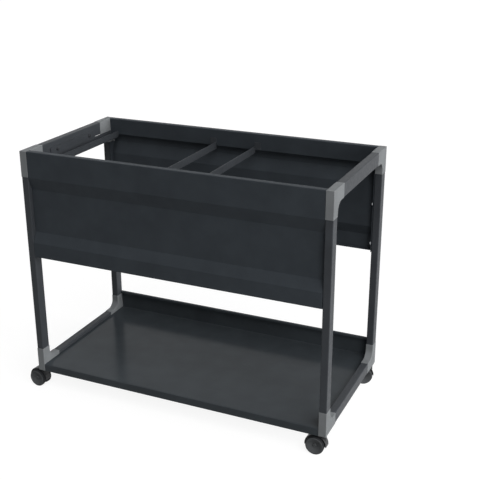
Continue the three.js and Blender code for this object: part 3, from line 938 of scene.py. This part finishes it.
@dataclass
class Casters:
    """Twin-wheel swivel casters: a hooded housing on a stem, two wheels on one axle."""

    wheel_radius: float = 25 * MM
    wheel_width: float = 12.5 * MM
    wheel_start: float = 6.0 * MM
    rim_width: float = 1.0 * MM
    dish_depth: float = 7.5 * MM
    hub_depth: float = 3.3 * MM
    hub_radius: float = 4.2 * MM
    bore_radius: float = 3.2 * MM
    bore_depth: float = 8.2 * MM
    bore_round: float = 0.3 * MM
    tread_round: float = 3.2 * MM
    rim_round: float = 0.6 * MM
    dish_round: float = 0.8 * MM
    hub_flare: float = 0.6 * MM
    hub_round: float = 0.6 * MM
    dimple_radius: float = 1.0 * MM
    dimple_round: float = 0.15 * MM
    dimple_floor: float = 0.8 * MM
    dimple_floor_round: float = 0.1 * MM
    dimple_depth: float = 0.3 * MM
    hood_inner: float = 28 * MM
    hood_radius: float = 29.5 * MM
    hood_half_width: float = 10.5 * MM
    hood_round: float = 0.8 * MM
    hood_lip_round: float = 0.4 * MM
    hood_from: float = -5.0
    hood_to: float = 188.0
    web_half: float = 5.5 * MM
    web_fillet: float = 1.0 * MM
    web_radius: float = 19 * MM
    web_round: float = 0.8 * MM
    web_step: float = 0.3 * MM
    boss_foot: float = 1.0 * MM
    boss_radius: float = 8 * MM
    boss_round: float = 1.2 * MM
    stem_bore: float = 4.2 * MM
    stem_foot: float = 5.8 * MM
    wheel_segments: int = 96
    arc_step: float = 3.0
    weld: float = 0.01 * MM
    sliver: float = 0.005 * MM

    def build(self) -> None:
        """Builds the four casters on shared meshes."""
        wheel = self._wheel_mesh()
        _, trail, top = self._place("caster_front_left")
        housing = self._housing_mesh(trail, top)
        for side, face in product(Side, Face):
            name = f"caster_{face.word}_{side.word}"
            place, _, _ = self._place(name)
            add_piece(f"{name}_hood", housing, [f"{name}_housing"], name, place)
            for which, out in (("outer", face.value), ("inner", -face.value)):
                body = f"{name}_{which}_wheel"
                turn = Matrix.Rotation(0.0 if out > 0 else math.pi, 4, "Z")
                start = Matrix.Translation((0.0, self.wheel_start, 0.0))
                seat = place @ turn @ start
                add_piece(f"{body}_disc", wheel, [body], body, seat)
            for pin in ("stem", "axle"):
                dress_node(f"{name}_{pin}", PIN_STEEL)

    def _place(self, name: str) -> tuple[Matrix, float, float]:
        """Axes of one caster about the middle of its axle.

        Args:
            name: Caster body.

        Returns:
            The axes with local X towards the stem, the trail, and the boss top above the axle.
        """
        axle = [Vector(corner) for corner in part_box(f"{name}_axle")]
        stem = [Vector(corner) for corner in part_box(f"{name}_stem")]
        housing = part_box(f"{name}_housing")
        centre = (axle[0] + axle[1]) / 2
        offset = (stem[0] + stem[1]) / 2 - centre
        trail = offset.xy.length
        turn = math.atan2(offset.y, offset.x)
        place = Matrix.Translation(centre) @ Matrix.Rotation(turn, 4, "Z")
        return place, trail, housing[1][2] - centre.z

    def _wheel_mesh(self) -> Mesh:
        """Mesh of a wheel along its own Y axis, its open bore at 0 and its dished face outwards.

        Returns:
            The shared mesh.
        """
        radius, width = self.wheel_radius, self.wheel_width
        dish, hub = width - self.dish_depth, width - self.hub_depth
        rim = radius - self.tread_round - self.rim_width
        dimple = hub - self.dimple_depth
        corners = [
            ((0.0, self.bore_depth), 0.0),
            ((self.bore_radius, self.bore_depth), 0.0),
            ((self.bore_radius, 0.0), self.bore_round),
            ((radius, 0.0), self.tread_round),
            ((radius, width), self.tread_round),
            ((rim, width), self.rim_round),
            ((self.hub_radius + self.hub_flare, dish), self.dish_round),
            ((self.hub_radius, hub), self.hub_round),
            ((self.dimple_radius, hub), self.dimple_round),
            ((self.dimple_floor, dimple), self.dimple_floor_round),
            ((0.0, dimple), 0.0),
        ]
        bm = bmesh.new()
        lathe(bm, traced(corners), self.wheel_segments)
        for polygon in bm.faces:
            if polygon.calc_center_median().xz.length > radius - self.tread_round / 2:
                polygon.material_index = 1
        return finished_mesh("caster_wheel", bm, [WHEEL_PLASTIC, TREAD_RUBBER])

    def _swept(self, bm: BMesh, section: Sequence[Point], start: float, end: float) -> None:
        """Sweeps a closed section round the axle between two angles.

        Args:
            bm: Mesh that takes the solid.
            section: Points (along the axle, radius).
            start: First angle, in degrees from the stem side.
            end: Last angle.
        """
        count = math.ceil((end - start) / self.arc_step)
        rows = []
        for k in range(count + 1):
            angle = math.radians(start + (end - start) * k / count)
            ring = [(r * math.cos(angle), a, r * math.sin(angle)) for a, r in section]
            rows.append([bm.verts.new(point) for point in ring])
        for first, second in zip(rows, rows[1:]):
            skin(bm, first, second)
        bm.faces.new(rows[0])
        bm.faces.new(rows[-1])

    def _solid(self, name: str, bm: BMesh) -> Object:
        """Building block of the housing, in the scene only until the housing is made."""
        return linked(name, finished_mesh(name, bm, [HOUSING_PLASTIC]))

    def _bar(self, name: str, profile: Sequence[Point], place: Matrix) -> Object:
        """Round building block about its own Y axis.

        Args:
            name: Name of the block.
            profile: Points (radius, along), from axis to axis.
            place: Where its axes lie.

        Returns:
            The block.
        """
        bm = bmesh.new()
        lathe(bm, profile, self.wheel_segments)
        bm.transform(place)
        return self._solid(name, bm)

    def _housing_mesh(self, trail: float, top: float) -> Mesh:
        """Mesh of a housing about the middle of its axle.

        Args:
            trail: Distance from the axle to the stem.
            top: Top of the stem boss above the axle.

        Returns:
            The shared mesh.
        """
        reach, web = self.hood_half_width, self.web_half
        inner, outer = self.hood_inner, self.hood_radius
        core = self.bore_radius / 2  # inside the axle hole, which is cut later
        corners = [
            ((0.0, outer), 0.0),
            ((-reach, outer), self.hood_round),
            ((-reach, inner), self.hood_lip_round),
            ((-web, inner), self.web_fillet),
            ((-web, core), 0.0),
            ((web, core), 0.0),
            ((web, inner), self.web_fillet),
            ((reach, inner), self.hood_lip_round),
            ((reach, outer), self.hood_round),
            ((0.0, outer), 0.0),
        ]
        bm = bmesh.new()
        self._swept(bm, traced(corners)[:-1], self.hood_from, self.hood_to)
        body = self._solid("hood_block", bm)
        level = Matrix.Identity(4)
        upright = Matrix.Translation((trail, 0.0, 0.0)) @ Matrix.Rotation(math.pi / 2, 4, "X")
        half = web - self.web_step
        disc = rounded(pin_profile(self.web_radius, -half, half), self.web_round)
        boss = rounded(pin_profile(self.boss_radius, self.boss_foot, top), self.boss_round)
        room = pin_profile((inner + outer) / 2, half, 2 * reach)
        bore = pin_profile(self.stem_bore, self.stem_foot, 2 * top)
        hole = pin_profile(self.bore_radius, -reach, reach)
        turned = Matrix.Rotation(math.pi, 4, "Z")
        boss_block = self._bar("boss_block", boss, upright)
        rooms = [self._bar("room_a", room, level), self._bar("room_b", room, turned)]
        for block in rooms:
            self._combine(boss_block, Joint.CUT, block)
        steps = [
            (Joint.FUSE, self._bar("web_disc", disc, level)),
            (Joint.FUSE, boss_block),
            (Joint.CUT, self._bar("axle_hole", hole, level)),
            (Joint.CUT, self._bar("stem_hole", bore, upright)),
        ]
        for joint, block in steps:
            self._combine(body, joint, block)
        bpy.context.view_layer.update()
        result = body.evaluated_get(bpy.context.evaluated_depsgraph_get())
        bm = bmesh.new()
        bm.from_mesh(result.to_mesh())
        bmesh.ops.remove_doubles(bm, verts=bm.verts[:], dist=self.weld)
        bmesh.ops.dissolve_degenerate(bm, dist=self.sliver, edges=bm.edges[:])
        mesh = finished_mesh("caster_hood", bm, [HOUSING_PLASTIC])
        for block in (body, *rooms, *(block for _, block in steps)):
            bpy.data.objects.remove(block)
        return mesh

    def _combine(self, body: Object, joint: Joint, block: Object) -> None:
        """Fuses a block with a body or cuts it out.

        Args:
            body: Body that changes.
            joint: What happens to the block.
            block: Block that is fused or cut out.
        """
        step = body.modifiers.new(block.name, "BOOLEAN")
        step.operation = joint.value
        step.object = block
        step.solver = "EXACT"
        block.hide_render = True


@dataclass(frozen=True)
class Lamp:
    """Broad soft lamp, far off, that lights the whole floor alike. Gloss shows it if mirrored."""

    name: str
    comes_from: tuple[float, float, float]
    level: float
    spread: float
    mirrored: bool = True

    def build(self) -> None:
        """Hangs the lamp."""
        data = bpy.data.lights.new(self.name, "SUN")
        data.energy = math.pi * self.level
        data.angle = math.radians(self.spread)
        lamp = linked(self.name, data)
        lamp.rotation_euler = (-Vector(self.comes_from)).to_track_quat("-Z", "Y").to_euler()
        lamp.visible_glossy = self.mirrored


@dataclass(frozen=True)
class Softbox:
    """Square lamp near the cart, so that its light falls off along the cart."""

    name: str
    place: tuple[float, float, float]
    aim: tuple[float, float, float]
    size: float
    power: float

    def build(self) -> None:
        """Hangs the lamp."""
        data = bpy.data.lights.new(self.name, "AREA")
        data.energy = self.power
        data.size = self.size
        lamp = linked(self.name, data)
        lamp.location = self.place
        way = Vector(self.aim) - Vector(self.place)
        lamp.rotation_euler = way.to_track_quat("-Z", "Y").to_euler()


@dataclass
class Studio:
    """White room: pale floor, soft lamps on three sides, a fill, and the camera."""

    camera_place: tuple[float, float, float] = (1.0555, -2.1080, 1.3440)
    azimuth: float = 24.296
    elevation: float = 20.783
    roll: float = -0.172
    lens: float = 68.069
    sensor: float = 36.0
    floor_size: float = 60.0
    floor_colour: float = 0.2
    floor_lift: float = 0.89
    fill: float = 0.08
    lamps: tuple[Lamp | Softbox, ...] = (
        Lamp("side", (1.0, 0.2, 0.2), 0.86, 60.0),
        Lamp("front", (0.44, -0.48, 0.76), 0.47, 45.0),
        Lamp("back", (-0.4, 1.0, 0.12), 0.3, 40.0, mirrored=False),
        Softbox("corner", (1.6, -1.3, 0.8), (0.4, -0.2, 0.45), 0.8, 6.0),
    )

    def build(self) -> None:
        """Builds the room."""
        bpy.context.scene.view_settings.view_transform = "Standard"
        self._camera()
        self._world()
        self._floor()
        for lamp in self.lamps:
            lamp.build()

    def _camera(self) -> None:
        """Places the camera."""
        data = bpy.data.cameras.new("camera")
        data.lens = self.lens
        data.sensor_width = self.sensor
        camera = linked("camera", data)
        turn, tilt = math.radians(self.azimuth), math.radians(self.elevation)
        reach = math.cos(tilt)
        back = Vector((math.sin(turn) * reach, -math.cos(turn) * reach, math.sin(tilt)))
        level = (-back).to_track_quat("-Z", "Y")
        rolled = level @ Quaternion((0.0, 0.0, 1.0), math.radians(self.roll))
        camera.rotation_euler = rolled.to_euler()
        camera.location = self.camera_place
        bpy.context.scene.camera = camera

    def _strength(self, tree: NodeTree, node: Node, lighting: float, seen: float) -> None:
        """Sets the strength of a glow by what its rays are for.

        Args:
            tree: Node tree of the glow.
            node: Node that glows.
            lighting: Strength for rays that only light.
            seen: Strength for rays that show a surface to the eye.
        """
        path = tree.nodes.new("ShaderNodeLightPath")
        value = path.outputs["Is Camera Ray"]
        for name in ("Is Glossy Ray", "Is Transmission Ray"):
            either = tree.nodes.new("ShaderNodeMath")
            either.operation = "MAXIMUM"
            tree.links.new(value, either.inputs[0])
            tree.links.new(path.outputs[name], either.inputs[1])
            value = either.outputs["Value"]
        level = tree.nodes.new("ShaderNodeMapRange")
        level.inputs["To Min"].default_value = lighting
        level.inputs["To Max"].default_value = seen
        tree.links.new(value, level.inputs["Value"])
        tree.links.new(level.outputs["Result"], node.inputs["Strength"])

    def _world(self) -> None:
        """Makes the surroundings white to the eye and a soft fill to the surfaces."""
        world = bpy.data.worlds.new("white_room")
        world.use_nodes = True
        tree = world.node_tree
        background = tree.nodes["Background"]
        background.inputs["Color"].default_value = (1.0, 1.0, 1.0, 1.0)
        self._strength(tree, background, self.fill, 1.0)
        bpy.context.scene.world = world

    def _floor(self) -> None:
        """Lays a pale floor that keeps the shadow of the cart."""
        half = self.floor_size / 2
        mesh = bpy.data.meshes.new("floor")
        corners = [(-half, -half, 0), (half, -half, 0), (half, half, 0), (-half, half, 0)]
        mesh.from_pydata(corners, [], [(0, 1, 2, 3)])
        floor = linked("floor", mesh)
        paper = bpy.data.materials.new("floor_paper")
        paper.use_nodes = True
        tree = paper.node_tree
        tree.nodes.remove(tree.nodes["Principled BSDF"])
        matt = tree.nodes.new("ShaderNodeBsdfDiffuse")
        matt.inputs["Color"].default_value = (*[self.floor_colour] * 3, 1.0)
        lift = tree.nodes.new("ShaderNodeEmission")
        self._strength(tree, lift, 0.0, self.floor_lift)
        both = tree.nodes.new("ShaderNodeAddShader")
        tree.links.new(matt.outputs["BSDF"], both.inputs[0])
        tree.links.new(lift.outputs["Emission"], both.inputs[1])
        tree.links.new(both.outputs["Shader"], tree.nodes["Material Output"].inputs["Surface"])
        mesh.materials.append(paper)


def main() -> None:
    """Builds the cart and the studio."""
    logging.basicConfig(level=logging.INFO, format="%(name)s %(message)s")
    assemblies = [EndFrames(), SidePanels(), Shelf(), FileRails(), Screws(), Casters(), Studio()]
    for assembly in assemblies:
        assembly.build()
        LOG.info("%s built", type(assembly).__name__)


if __name__ == "__main__":
    main()
